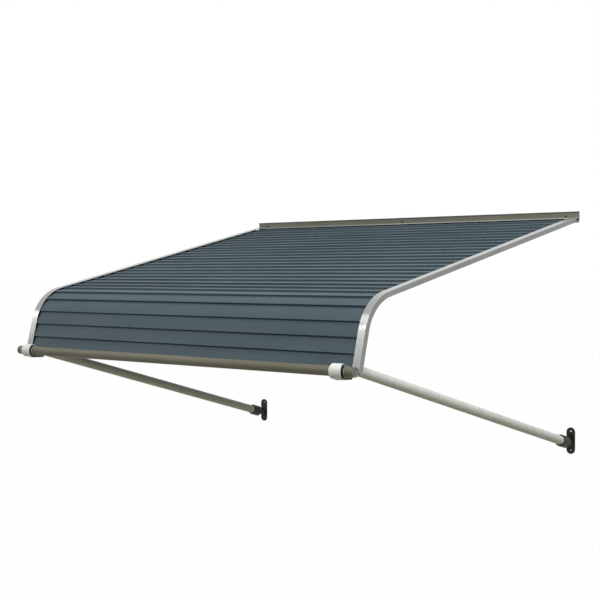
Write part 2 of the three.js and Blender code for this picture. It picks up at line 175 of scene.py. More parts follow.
# Facets round a full turn
ROUND = 64
SMALL_ROUND = 32
HOLE_ROUND = 24
# Facets along a bend or an arc
RAIL_BEND_FACETS = 48
PANEL_BEND_FACETS = 8
SHADE_STRIP_FACETS = 4
LOWER_JAW_FACETS = 20
UPPER_JAW_FACETS = 18
DOME_FACETS = 6
KEEL_BED_FACETS = 24
KEEL_TAIL_FACETS = 8
HALF_TURN_FACETS = 16

# Half lengths of the rods that cut holes, and how near counts as the same place
DRILL = 50 * MM
SHORT_DRILL = 20 * MM
MERGE = 1e-6
NEAR = 1e-7

# Limits of the noise that is used, and depths and widths in the finishes
CLOUD_LOW, CLOUD_HIGH = 0.35, 0.65
GRAIN_ROUGH = 0.55
GRAIN_DEEP = 0.2 * MM
# how far in from the rails' outer faces the painted shade on their webs begins and where it is
# full
WEB_SHADE_FROM = 1.0 * MM
WEB_SHADE_FULL = 0.3 * MM
# height above the jaw's tip, and fade, of the painted highlight on the wall rail's lower edge
HIGHLIGHT_EDGE = 2.0 * MM
HIGHLIGHT_FADE = 1.0 * MM

# Floor, surroundings, camera and lamps
FLOOR_SIZE = 400
FLOOR_LEVEL = -2.35
FLOOR_COLOUR = (0.31, 0.3, 0.185, 1)
FLOOR_WHITE = 0.99
STUDIO_COLOUR = (1.0, 0.99, 0.95, 1)
STUDIO_LIGHT = 0.13
CAMERA_PLACE = (2.6307, -3.4598, -0.1697)
CAMERA_DIP = math.radians(1.206)
CAMERA_TURN = math.radians(41.94)
CAMERA_SENSOR = 36
CAMERA_LENS = 74.98
CAMERA_FAR = 400
# name, place, aim, size in metres, power in watts
LAMPS = (
    ("high_softbox", (1.7, -0.7, 3.2), (0.3, -0.6, -0.2), (1.4, 1.4), 42),
    ("right_softbox", (3.4, -0.9, 1.6), (0.5, -0.6, -0.3), (1.4, 1.4), 46),
    ("front_softbox", (1.6, -3.0, 2.2), (0, -0.8, -0.2), (1.7, 1.4), 55),
    ("left_softbox", (-3.2, -4.3, 3.6), (0, -0.95, -0.2), (2.4, 1.6), 50),
    ("left_strip_near", (-3.1, -2.5, 0.69), (-0.7, -1.0, -0.15), (0.5, 0.6), 6.5),
    ("left_strip_far", (-2.0, -3.83, 1.37), (0.7, -1.0, -0.15), (0.5, 0.7), 11),
    ("back_softbox", (-1.6, 3.5, -0.6), (0, -0.4, -0.3), (1.6, 1.6), 34),
)

# Side view: u down the roof face, v down the drop face, w along the sheet over the bend,
# h out of the face
BEND = math.pi / 2 - ROOF_FALL - DROP_LEAN
HALF_BEND = math.tan(BEND / 2)
roof_along = Vector((0, -math.cos(ROOF_FALL), -math.sin(ROOF_FALL)))
roof_out = Vector((0, -math.sin(ROOF_FALL), math.cos(ROOF_FALL)))
drop_along = Vector((0, -math.sin(DROP_LEAN), -math.cos(DROP_LEAN)))
drop_out = Vector((0, -math.cos(DROP_LEAN), math.sin(DROP_LEAN)))

CREST = -(RAIL_WALL + PANEL_GAP)
SHEET_BASE = CREST - STEP_HEIGHT
SHELF_TOP = SHEET_BASE - SHEET - CLEAR
SHELF_BACK = SHELF_TOP - RAIL_WALL

first_step = (2 * HOOK_RADIUS - HOOK_BITE) / math.cos(ROOF_FALL)
bend_tangent = RAIL_BEND * HALF_BEND
bend_start = PROJECTION / math.cos(ROOF_FALL) - bend_tangent
roof_lip = bend_start - BEND_AFTER_ROOF
roof_step = (roof_lip - first_step) / (ROOF_PANELS * STEPS)
nose_lip = roof_lip + STEPS * NOSE_STEP
foot_lip = nose_lip + DROP_FIRST_STEP + (STEPS - 1) * DROP_STEP
crest_radius = RAIL_BEND + CREST


def roof_point(u, h):
    return Vector((0, 0, ROOF_RISE)) + roof_along * u + roof_out * h


corner = roof_point(bend_start + bend_tangent, 0)
bend_centre = roof_point(bend_start, -RAIL_BEND)


def drop_point(v, h):
    return corner + drop_along * v + drop_out * h


def drop_at(w):
    return bend_tangent + w - bend_start - crest_radius * BEND


def sheet_point(w, h):
    turned_by = (w - bend_start) / crest_radius
    if turned_by <= 0:
        return roof_point(w, CREST + h)
    if turned_by < BEND:
        reach = crest_radius + h
        return (bend_centre + roof_out * math.cos(turned_by) * reach
                + roof_along * math.sin(turned_by) * reach)
    return drop_point(drop_at(w), CREST + h)


hook_y = -HOOK_RADIUS
hook_z = roof_point(HOOK_RADIUS / math.cos(ROOF_FALL), SHEET_BASE).z - HOOK_SINK
hook_bore = HOOK_RADIUS - HOOK_WALL
jaw_top = roof_point(first_step + HOOK_BITE, SHEET_BASE - SHEET).z - CLEAR
mouth_down = math.asin((hook_z - jaw_top) / hook_bore)
hook_run = hook_y * roof_along.y + (hook_z - ROOF_RISE) * roof_along.z
jaw_near = math.cos(max(mouth_down - ROOF_FALL, 0))
jaw_tip = hook_z + HOOK_RADIUS * math.sin(HOOK_MOUTH_UP)
rail_start = hook_run + HOOK_RADIUS * jaw_near + CLEAR

rail_half = WIDTH / 2
screw_places = (SCREW_HOLE_INSET - rail_half, 0, rail_half - SCREW_HOLE_INSET)
screw_z = WEB_TOP - SCREW_HOLE_DROP
bar_half = rail_half + BAR_OVERHANG
bar_out = COLLAR_OD / 2 + CREST + CLEAR
bar_drop = drop_at(foot_lip) + BAR_DOWN
bar_centre = drop_point(bar_drop, bar_out)
rail_foot = drop_at(foot_lip) + RAIL_FOOT_DOWN
foot_above_bar = bar_drop - rail_foot
collar_x = rail_half - COLLAR_INSET - COLLAR_LENGTH / 2
flange_back = bar_out - SHELF_BACK + FLANGE_CLEAR
arm_start = drop_point(rail_foot - ARM_ABOVE_FOOT, bar_out - flange_back)
wall_pin = Vector((0, -PLATE_PIN_OUT, -PLATE_PIN_DROP))
arm_span = (wall_pin - arm_start).length
arm_fall = math.atan2(wall_pin.z - arm_start.z, wall_pin.y - arm_start.y)
arm_x = rail_half - ARM_INSET
arm_bore = ARM_OD / 2 + CLEAR
ear_gap = LUG_THICK / 2 + CLEAR
ear_outer = ear_gap + EAR
SIDES = (("left", -1), ("right", 1))
HALF_TURN = [k * math.pi / HALF_TURN_FACETS for k in range(HALF_TURN_FACETS + 1)]


def beside(side, x, point):
    return Vector((side * x, 0, 0)) + point


def arc(y, z, radius, angles):
    return [(y + radius * math.cos(a), z + radius * math.sin(a)) for a in angles]


def even_steps(start, pitch, count):
    return [start + k * pitch for k in range(count + 1)]


# Modelling by hand

def deselect():
    if bpy.context.object and bpy.context.object.mode != "OBJECT":
        bpy.ops.object.mode_set(mode="OBJECT")
    bpy.ops.object.select_all(action="DESELECT")


def take(piece):
    deselect()
    piece.select_set(True)
    bpy.context.view_layer.objects.active = piece


def settle(piece):
    take(piece)
    bpy.ops.object.transform_apply(location=True, rotation=True, scale=True)
    return piece


def begin(name):
    piece = bpy.context.object
    piece.name = name
    piece.data.name = name
    settle(piece)
    bpy.ops.object.mode_set(mode="EDIT")
    return piece


def near(a, b):
    return abs(a - b) < NEAR


def pick(piece, kind, test):
    bpy.ops.mesh.select_mode(type=kind)
    bpy.ops.mesh.select_all(action="DESELECT")
    mesh = bmesh.from_edit_mesh(piece.data)
    for part in {"VERT": mesh.verts, "EDGE": mesh.edges}[kind]:
        if test(part):
            part.select_set(True)
    bmesh.update_edit_mesh(piece.data)


def close_up(piece):
    bpy.ops.mesh.select_all(action="SELECT")
    bpy.ops.mesh.remove_doubles(threshold=MERGE)
    bpy.ops.mesh.normals_make_consistent(inside=False)
    bpy.ops.object.mode_set(mode="OBJECT")
    return piece


def apply_modifier(piece, kind, **settings):
    take(piece)
    modifier = piece.modifiers.new(kind.lower(), kind)
    for key, value in settings.items():
        setattr(modifier, key, value)
    bpy.ops.object.modifier_apply(modifier=modifier.name)
    return piece


def soften(piece, width, segments=2, angle=30):
    return apply_modifier(piece, "BEVEL", width=width, segments=segments, limit_method="ANGLE",
                          angle_limit=math.radians(angle), use_clamp_overlap=True)


def thicken(piece, thickness, offset=0):
    return apply_modifier(piece, "SOLIDIFY", thickness=thickness, offset=offset,
                          use_even_offset=True)


def smooth(piece, angle=32):
    take(piece)
    bpy.ops.object.shade_smooth_by_angle(angle=math.radians(angle))
    # large faces stay flat up to their rounded edges
    return apply_modifier(piece, "WEIGHTED_NORMAL", keep_sharp=True)


def single_vertex(name, place):
    deselect()
    bpy.ops.mesh.primitive_plane_add(size=0.01, location=place)
    piece = begin(name)
    bpy.ops.mesh.select_all(action="SELECT")
    bpy.ops.mesh.merge(type="CENTER")
    bpy.ops.mesh.select_mode(type="VERT")
    bpy.ops.mesh.select_all(action="SELECT")
    return piece


def draw(points):
    for a, b in zip(points, points[1:]):
        bpy.ops.mesh.extrude_vertices_move(TRANSFORM_OT_translate={"value": tuple(b - a)})


def pull_edges(way):
    bpy.ops.mesh.extrude_edges_move(TRANSFORM_OT_translate={"value": tuple(way)})


def pull_faces(way):
    bpy.ops.mesh.extrude_region_move(TRANSFORM_OT_translate={"value": tuple(way)})


def turned(name, profile, steps=ROUND):
    # profile of (along X, radius) pairs, spun once round the X axis
    points = [Vector((x, 0, r)) for x, r in profile]
    piece = single_vertex(name, points[0])
    draw(points)
    bpy.ops.mesh.select_all(action="SELECT")
    bpy.ops.mesh.spin(steps=steps, angle=2 * math.pi, center=(0, 0, 0), axis=(1, 0, 0))
    return close_up(piece)


def tube(name, outer, wall, x0, x1):
    inner = outer - wall
    return turned(name, [(x0, inner), (x0, outer), (x1, outer), (x1, inner), (x0, inner)])


def drill(name, radius, reach, steps):
    # a rod along X that a hole is cut with
    return turned(name, [(-reach, 0), (-reach, radius), (reach, radius), (reach, 0)], steps)


def slab(name, outline, x0, x1):
    # closed outline of (y, z) pairs, filled and extruded along X
    points = [Vector((x0, y, z)) for y, z in outline]
    piece = single_vertex(name, points[0])
    draw(points)
    bpy.ops.mesh.select_all(action="SELECT")
    bpy.ops.mesh.edge_face_add()
    bpy.ops.mesh.select_all(action="SELECT")
    pull_faces((x1 - x0, 0, 0))
    return close_up(piece)


def folded_sheet(name, line, half_width):
    # a strip along X, drawn out edge by edge over its folds
    first, second = line[0], line[1]
    run = second - first
    deselect()
    bpy.ops.mesh.primitive_plane_add(size=1, location=(first + second) / 2,
                                     rotation=(math.atan2(run.z, run.y), 0, 0))
    bpy.context.object.scale = (2 * half_width, run.length, 1)
    piece = begin(name)
    pick(piece, "EDGE", lambda e: all(
        (Vector((0, v.co.y, v.co.z)) - second).length < MERGE for v in e.verts))
    for a, b in zip(line[1:], line[2:]):
        pull_edges(b - a)
    bpy.ops.mesh.select_all(action="SELECT")
    bpy.ops.mesh.normals_make_consistent(inside=False)
    bpy.ops.object.mode_set(mode="OBJECT")
    return piece


def turn_outwards(piece, outwards):
    # the side that faces outwards on most of the sheet is its face
    lean = sum((f.normal.dot(outwards) * f.area for f in piece.data.polygons), 0.0)
    if lean < 0:
        take(piece)
        bpy.ops.object.mode_set(mode="EDIT")
        bpy.ops.mesh.select_all(action="SELECT")
        bpy.ops.mesh.flip_normals()
        bpy.ops.object.mode_set(mode="OBJECT")


def combine(piece, others, operation):
    for other in others:
        apply_modifier(piece, "BOOLEAN", object=other, operation=operation, solver="EXACT")
        bpy.data.objects.remove(other)
    return piece


def put(piece, place=(0, 0, 0), turn=(0, 0, 0)):
    piece.rotation_euler = turn
    piece.location = place
    return settle(piece)


def hand_over(piece, solid, body, material):
    # a piece that stands for a solid of the frame
    piece.data.materials.clear()
    piece.data.materials.append(material)
    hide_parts(solid)
    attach(piece, body)


def add_on(piece, body, material):
    # a piece that no solid of the frame has
    piece.data.materials.append(material)
    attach(piece, body)


# Finishes

def finish(name, **sockets):
    material = bpy.data.materials.new(name)
    material.use_nodes = True
    shader = material.node_tree.nodes["Principled BSDF"]
    for key, value in sockets.items():
        shader.inputs[key.replace("_", " ")].default_value = value
    return material, material.node_tree, shader


def node(tree, kind, **settings):
    made = tree.nodes.new(kind)
    for key, value in settings.items():
        setattr(made, key, value)
    return made


def grain(tree, scale, detail, stretch=(1, 1, 1)):
    place = node(tree, "ShaderNodeTexCoord")
    mapping = node(tree, "ShaderNodeMapping")
    mapping.inputs["Scale"].default_value = stretch
    noise = node(tree, "ShaderNodeTexNoise")
    noise.inputs["Scale"].default_value = scale
    noise.inputs["Detail"].default_value = detail
    noise.inputs["Roughness"].default_value = GRAIN_ROUGH
    tree.links.new(place.outputs["Object"], mapping.inputs["Vector"])
    tree.links.new(mapping.outputs["Vector"], noise.inputs["Vector"])
    return noise.outputs["Fac"]


def between(tree, source, low, high, start=CLOUD_LOW, end=CLOUD_HIGH):
    ramp = node(tree, "ShaderNodeMapRange")
    ramp.inputs["From Min"].default_value = start
    ramp.inputs["From Max"].default_value = end
    ramp.inputs["To Min"].default_value = low
    ramp.inputs["To Max"].default_value = high
    tree.links.new(source, ramp.inputs["Value"])
    return ramp.outputs["Result"]


def tint(tree, source, dark, light):
    ramp = node(tree, "ShaderNodeValToRGB")
    ramp.color_ramp.elements[0].position = CLOUD_LOW
    ramp.color_ramp.elements[0].color = (*dark, 1)
    ramp.color_ramp.elements[1].position = CLOUD_HIGH
    ramp.color_ramp.elements[1].color = (*light, 1)
    tree.links.new(source, ramp.inputs["Fac"])
    return ramp.outputs["Color"]


def along(tree, axis):
    place = node(tree, "ShaderNodeTexCoord")
    split = node(tree, "ShaderNodeSeparateXYZ")
    tree.links.new(place.outputs["Object"], split.inputs["Vector"])
    return split.outputs[axis]


def blend(tree, share, first, second):
    mix = node(tree, "ShaderNodeMixRGB")
    tree.links.new(share, mix.inputs["Fac"])
    tree.links.new(first, mix.inputs["Color1"])
    tree.links.new(second, mix.inputs["Color2"])
    return mix.outputs["Color"]


def emboss(tree, shader, source, strength):
    bump = node(tree, "ShaderNodeBump")
    bump.inputs["Strength"].default_value = strength
    bump.inputs["Distance"].default_value = GRAIN_DEEP
    tree.links.new(source, bump.inputs["Height"])
    tree.links.new(bump.outputs["Normal"], shader.inputs["Normal"])


def slate_paint():
    material, tree, shader = finish("slate_paint", Metallic=0.0, Specular_IOR_Level=0.14)
    cloud = grain(tree, 5, stretch=(0.5, 1, 1), detail=5)
    colour = tint(tree, cloud, (0.066, 0.099, 0.116), (0.079, 0.116, 0.134))
    tree.links.new(colour, shader.inputs["Base Color"])
    streak = grain(tree, 40, stretch=(0.08, 1, 1), detail=4)
    tree.links.new(between(tree, streak, 0.5, 0.6), shader.inputs["Roughness"])
    peel = grain(tree, 900, detail=2)
    emboss(tree, shader, peel, 0.03)
    return material


def mill_aluminium():
    material, tree, shader = finish("mill_aluminium", Metallic=0.22)
    cloud = grain(tree, 9, detail=6)
    flange_tone = tint(tree, cloud, (0.33, 0.346, 0.336), (0.39, 0.406, 0.396))
    # painted shade: the outer webs of the rails are painted darker than their face flanges,
    # standing in for the dimmer light they reflect
    web_painted_shade = tint(tree, cloud, (0.255, 0.265, 0.256), (0.302, 0.312, 0.303))
    across = node(tree, "ShaderNodeMath", operation="ABSOLUTE")
    tree.links.new(along(tree, "X"), across.inputs[0])
    edge = between(tree, across.outputs[0], 0, 1, rail_half - WEB_SHADE_FROM, rail_half - WEB_SHADE_FULL)
    tree.links.new(blend(tree, edge, flange_tone, web_painted_shade), shader.inputs["Base Color"])
    drawn = grain(tree, 700, stretch=(1, 0.02, 0.05), detail=3)
    tree.links.new(between(tree, drawn, 0.14, 0.22), shader.inputs["Roughness"])
    emboss(tree, shader, drawn, 0.08)
    return material


def drawn_along_x(name, dark, light, metallic, rough, highlight_below=None):
    material, tree, shader = finish(name, Metallic=metallic, Specular_IOR_Level=0.3)
    cloud = grain(tree, 7, stretch=(0.3, 1, 1), detail=3)
    colour = tint(tree, cloud, dark, light)
    if highlight_below is not None:
        # painted highlight: the lower edge is painted paler, standing in for the light caught
        # along the jaw's lip
        painted_highlight = tint(tree, cloud, (0.3, 0.31, 0.28), (0.42, 0.43, 0.39))
        highlight_share = between(tree, along(tree, "Z"), 1, 0, highlight_below, highlight_below + HIGHLIGHT_FADE)
        colour = blend(tree, highlight_share, colour, painted_highlight)
    tree.links.new(colour, shader.inputs["Base Color"])
    drawn = grain(tree, 600, stretch=(0.02, 1, 1), detail=3)
    tree.links.new(between(tree, drawn, *rough), shader.inputs["Roughness"])
    emboss(tree, shader, drawn, 0.03)
    return material


def moulded(name, dark, light, rough, pit, gloss=0.5):
    material, tree, shader = finish(name, Metallic=0.0, IOR=1.48, Specular_IOR_Level=gloss)
    cloud = grain(tree, 60, detail=5)
    tree.links.new(tint(tree, cloud, dark, light), shader.inputs["Base Color"])
    patch = grain(tree, 220, detail=3)
    tree.links.new(between(tree, patch, *rough), shader.inputs["Roughness"])
    emboss(tree, shader, grain(tree, 2600, detail=2), pit)
    return material


slate = slate_paint()
mill = mill_aluminium()
rail_tan = drawn_along_x("wall_rail_metal", (0.128, 0.136, 0.108), (0.222, 0.21, 0.168),
                         metallic=0.1, rough=(0.45, 0.55), highlight_below=jaw_tip + HIGHLIGHT_EDGE)
bar_tan = drawn_along_x("bar_metal", (0.135, 0.129, 0.09), (0.17, 0.16, 0.118),
                        metallic=0.0, rough=(0.5, 0.6))
arm_grey = moulded("arm_satin", (0.66, 0.66, 0.63), (0.73, 0.73, 0.7),
                   rough=(0.5, 0.6), pit=0.02, gloss=0.3)
cream = moulded("cream_plastic", (0.82, 0.82, 0.795), (0.88, 0.88, 0.86),
                rough=(0.42, 0.55), pit=0.05)
charcoal = moulded("charcoal_plastic", (0.009, 0.0105, 0.007), (0.038, 0.044, 0.028),
                   rough=(0.4, 0.58), pit=0.25, gloss=0.25)
olive = moulded("olive_plastic", (0.085, 0.082, 0.058), (0.12, 0.116, 0.088),
                rough=(0.45, 0.6), pit=0.2)
plug_grey = moulded("plug_grey", (0.13, 0.136, 0.115), (0.19, 0.196, 0.172),
                    rough=(0.42, 0.55), pit=0.1)
# painted highlight: a paler grey for the lip ring at the collar's end
lip_painted_highlight = moulded("lip_painted_highlight", (0.22, 0.235, 0.205), (0.3, 0.315, 0.28),
                   rough=(0.4, 0.55), pit=0.1)
# painted shade: near-black for the neck in the collar's mouth
neck_painted_shade = moulded("neck_painted_shade", (0.02, 0.021, 0.016), (0.032, 0.033, 0.026),
                    rough=(0.5, 0.65), pit=0.1, gloss=0.2)
# painted shade: near-black for the strip under the rails' face flanges
shade_strip_black = moulded("shade_strip_black", (0.003, 0.0035, 0.003), (0.007, 0.0075, 0.007),
                    rough=(0.8, 0.95), pit=0.3, gloss=0.05)
screw_dark = moulded("screw_dark", (0.045, 0.046, 0.036), (0.07, 0.07, 0.056),
                     rough=(0.35, 0.5), pit=0.05, gloss=0.3)


# Stepped panels

def panel_line(steps):
    start, end = steps[0], steps[-1]
    bend_end = bend_start + crest_radius * BEND
    line = [(start - TONGUE, TONGUE_HOOK - STEP_HEIGHT), (start - TONGUE, -STEP_HEIGHT),
            (start + STEP_LEAN, -STEP_HEIGHT)]
    for before, here in zip(steps, steps[1:]):
        begins = before + STEP_LEAN
        facets = PANEL_BEND_FACETS if here > bend_start and begins < bend_end else 1
        for k in range(1, facets + 1):
            line.append((begins + (here - begins) * k / facets, STEP_HEIGHT * (k / facets - 1)))
        if here < end:
            line.append((here + STEP_LEAN, -STEP_HEIGHT))
    line += [(end + STEP_LEAN, CLEAR - STEP_HEIGHT), (end - LIP_HEM, CLEAR - STEP_HEIGHT)]
    return [sheet_point(w, h) for w, h in line]


def stepped_panel(name, steps):
    piece = folded_sheet(name + "_sheet", panel_line(steps), rail_half - RAIL_WALL - CLEAR)
    turn_outwards(piece, roof_out + drop_out)
    thicken(piece, SHEET, offset=-1)
    soften(piece, FOLD_EDGE, angle=25)
    smooth(piece, SHEET_SMOOTH)
    hand_over(piece, name, "canopy", slate)


for i in range(ROOF_PANELS):
    start = first_step + i * STEPS * roof_step
    stepped_panel("roof_panel_%d" % (i + 1), even_steps(start, roof_step, STEPS))
stepped_panel("nose_panel", even_steps(roof_lip, NOSE_STEP, STEPS))
drop_steps = even_steps(nose_lip + DROP_FIRST_STEP, DROP_STEP, STEPS - 1)
stepped_panel("drop_panel", [nose_lip] + drop_steps)


# Side rails

def rail_section(name, side):
    # corner block first, then the face flange, the web, the shelf and the skirt
    here = roof_point(rail_start, 0)
    deselect()
    bpy.ops.mesh.primitive_plane_add(size=RAIL_WALL, location=(0, 0, 0))
    piece = begin(name)
    bpy.ops.mesh.select_all(action="SELECT")
    bpy.ops.transform.translate(value=(-RAIL_WALL / 2, -RAIL_WALL / 2, 0))
    # inner edge of the corner block grows into the face flange
    pick(piece, "EDGE", lambda e: all(near(v.co.x, -RAIL_WALL) for v in e.verts))
    pull_edges((RAIL_WALL - RAIL_FACE, 0, 0))
    levels = (-RAIL_WALL, SHELF_TOP, SHELF_BACK, -RAIL_DEPTH)
    for above, below in zip(levels, levels[1:]):
        pick(piece, "EDGE", lambda e: all(
            near(v.co.y, above) and v.co.x > -RAIL_WALL - NEAR for v in e.verts))
        pull_edges((0, below - above, 0))
    pick(piece, "EDGE", lambda e: all(
        near(v.co.x, -RAIL_WALL) and SHELF_BACK - NEAR < v.co.y < SHELF_TOP + NEAR
        for v in e.verts))
    pull_edges((RAIL_WALL - RAIL_SHELF, 0, 0))
    bpy.ops.mesh.select_all(action="SELECT")
    bpy.ops.mesh.remove_doubles(threshold=NEAR)
    # the free lip of the face flange is rolled off
    pick(piece, "VERT", lambda v: near(v.co.x, -RAIL_FACE) and near(v.co.y, 0))
    bpy.ops.mesh.bevel(offset=RAIL_LIP_ROUND, segments=3, affect="VERTICES")
    bpy.ops.object.mode_set(mode="OBJECT")
    # stand the section square to the roof at the wall end
    if side < 0:
        piece.scale.x = -1
        settle(piece)
    return put(piece, (side * rail_half, here.y, here.z), (math.pi / 2 - ROOF_FALL, 0, 0))


def side_rail(name, side):
    piece = rail_section("side_rail_%s_bend" % name, side)
    bpy.ops.object.mode_set(mode="EDIT")
    bpy.ops.mesh.select_mode(type="FACE")
    bpy.ops.mesh.select_all(action="SELECT")
    pull_faces(roof_along * (bend_start - rail_start))
    bpy.ops.mesh.spin(steps=RAIL_BEND_FACETS, angle=-BEND, center=bend_centre, axis=(1, 0, 0))
    pull_faces(drop_along * (rail_foot - bend_tangent))
    close_up(piece)
    soften(piece, RAIL_EDGE, angle=40)
    smooth(piece, SHEET_SMOOTH)
    hand_over(piece, "side_rail_" + name, "canopy", mill)


def rail_shade_strip(name, side):
    # painted shade: a black strip under the face flange, cut to the steps of the panels, stands
    # in for the shadow in the gap between flange and panels
    steps = even_steps(first_step, roof_step, ROOF_PANELS * STEPS)
    steps += even_steps(roof_lip, NOSE_STEP, STEPS)[1:] + drop_steps
    under, over = [], []
    for before, here in zip(steps[1:], steps[2:]):
        begins = before + STEP_LEAN
        for k in range(SHADE_STRIP_FACETS + 1):
            w = begins + (here - begins) * k / SHADE_STRIP_FACETS
            under.append(sheet_point(w, STEP_HEIGHT * (k / SHADE_STRIP_FACETS - 1) + SHADE_STRIP_CLEAR))
            over.append(sheet_point(w, PANEL_GAP - SHADE_STRIP_CLEAR))
    outline = [(point.y, point.z) for point in over + under[::-1]]
    inner = rail_half - RAIL_FACE + SHADE_STRIP_SET_BACK
    x0, x1 = sorted((side * inner, side * (inner + SHADE_STRIP_WIDE)))
    shade_piece = slab("rail_shade_strip_" + name, outline, x0, x1)
    add_on(shade_piece, "canopy", shade_strip_black)


for name, side in SIDES:
    side_rail(name, side)
    rail_shade_strip(name, side)


# Wall rail: one folded strip for bead, web and lower jaw, a second for the upper jaw

def hook_point(angle):
    reach = HOOK_RADIUS - HOOK_WALL / 2
    return Vector((0, hook_y + reach * math.cos(angle), hook_z + reach * math.sin(angle)))


def wall_rail():
    top = WEB_TOP - WEB / 2
    sweep = math.pi - mouth_down
    lower = [hook_point(-sweep * k / LOWER_JAW_FACETS) for k in range(LOWER_JAW_FACETS + 1)]
    line = [Vector((0, -BEAD_DEPTH, top)), Vector((0, -WEB / 2, top))] + lower
    piece = thicken(folded_sheet("wall_rail_strip", line, rail_half), WEB)
    sweep = math.pi - HOOK_MOUTH_UP - JAW_ROOT
    upper = [hook_point(JAW_ROOT + sweep * k / UPPER_JAW_FACETS)
             for k in range(UPPER_JAW_FACETS + 1)]
    jaw = thicken(folded_sheet("wall_rail_jaw", upper, rail_half), HOOK_WALL)
    combine(piece, [jaw], "UNION")
    for x in screw_places:
        hole = drill("screw_hole", SCREW_HOLE / 2, SHORT_DRILL, HOLE_ROUND)
        put(hole, (x, 0, screw_z), (0, 0, math.pi / 2))
        combine(piece, [hole], "DIFFERENCE")
    soften(piece, WALL_RAIL_EDGE, angle=50)
    smooth(piece, SHEET_SMOOTH)
    hand_over(piece, "wall_rail", "canopy", rail_tan)


def wall_rail_screw(name, x):
    # a domed head with a cross in it, its shank in the hole
    rim, shank, top = SCREW_HEAD / 2, SCREW_SHANK / 2, CLEAR + SCREW_DOME
    angles = [k * math.pi / 2 / DOME_FACETS for k in range(1, DOME_FACETS)]
    dome = [(CLEAR + SCREW_DOME * math.sin(a), rim * math.cos(a)) for a in angles]
    screw = turned(name, [(-WEB, 0), (-WEB, shank), (CLEAR, shank), (CLEAR, rim)] + dome
                   + [(top, 0)], SMALL_ROUND)
    floor = top - SCREW_CROSS_DEEP
    for wide, high in ((SCREW_CROSS, rim), (rim, SCREW_CROSS)):
        square = [(-wide / 2, -high / 2), (wide / 2, -high / 2),
                  (wide / 2, high / 2), (-wide / 2, high / 2)]
        cut = slab("cross_cut", square, floor, floor + 2 * SCREW_DOME)
        combine(screw, [cut], "DIFFERENCE")
    smooth(put(screw, (x, -WEB, screw_z), (0, 0, -math.pi / 2)))
    add_on(screw, "canopy", screw_dark)


wall_rail()
for name, x in zip(("left", "middle", "right"), screw_places):
    wall_rail_screw("wall_rail_screw_" + name, x)


# Front bar, plugs, collars and saddles

def front_bar():
    bar = tube("front_bar_tube", BAR_OD / 2, BAR_WALL, -bar_half, bar_half)
    soften(bar, TUBE_EDGE)
    smooth(put(bar, bar_centre))
    hand_over(bar, "front_bar", "canopy", bar_tan)


def bar_plug(name, side):
    stem, head, face = BAR_OD / 2 - BAR_WALL - CLEAR, BAR_OD / 2, CLEAR + PLUG_LIP
    dish = face - PLUG_DISH
    plug = turned("bar_plug_%s_cap" % name, [
        (-PLUG_STEM, 0), (-PLUG_STEM, stem), (CLEAR, stem), (CLEAR, head), (face, head),
        (face, head - PLUG_RIM), (dish, head - PLUG_RIM - PLUG_DISH), (dish, 0)])
    soften(plug, PLUG_EDGE, segments=3)
    smooth(put(plug, beside(side, bar_half, bar_centre), (0, 0, 0 if side > 0 else math.pi)))
    hand_over(plug, "bar_plug_" + name, "canopy", plug_grey)


def collar(name, side):
    # the same sleeve on both sides: its +X end is cut slantwise, shorter behind,
    # round a neck with a lip
    end, outer, bore = COLLAR_LENGTH / 2, COLLAR_OD / 2, BAR_OD / 2 + CLEAR
    seat, shell, web = bore + NECK_WALL, outer - COLLAR_WALL, COLLAR_WEB / 2
    place = beside(side, collar_x, bar_centre)
    half = [(web, seat), (web, shell), (end, shell), (end, outer)]
    mirrored = [(-x, r) for x, r in reversed(half)]
    sleeve = turned("collar_%s_sleeve" % name, half + mirrored + half[:1])
    bpy.ops.object.mode_set(mode="EDIT")
    bpy.ops.mesh.select_all(action="SELECT")
    bpy.ops.mesh.bisect(plane_co=(end - CLEAR, -outer, 0), plane_no=(1, COLLAR_SLANT, 0),
                        clear_outer=True)
    pick(sleeve, "EDGE", lambda e: e.is_boundary)
    bpy.ops.mesh.bridge_edge_loops()
    close_up(sleeve)
    soften(sleeve, COLLAR_EDGE, segments=3)
    smooth(put(sleeve, place))
    hand_over(sleeve, "collar_" + name, "arm_" + name, cream)

    # painted shade and highlight: the dark neck stands in for the shade in the collar's mouth,
    # and the pale lip stands in for the light on the ring's end
    lip_start = end + NECK_OUT
    lip_end = lip_start + LIP_LENGTH
    neck = tube("collar_%s_neck" % name, seat, NECK_WALL, -end, lip_start)
    lip = tube("collar_%s_lip" % name, bore + LIP_WALL, LIP_WALL, lip_start, lip_end)
    for ring, material in ((neck, neck_painted_shade), (lip, lip_painted_highlight)):
        soften(ring, RING_EDGE)
        smooth(put(ring, place))
        add_on(ring, "arm_" + name, material)


front_bar()
for name, side in SIDES:
    bar_plug(name, side)
    collar(name, side)
    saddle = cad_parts["bar_saddle_" + name]
    saddle.data.materials.clear()
    saddle.data.materials.append(mill)


# Front clips and stay arms

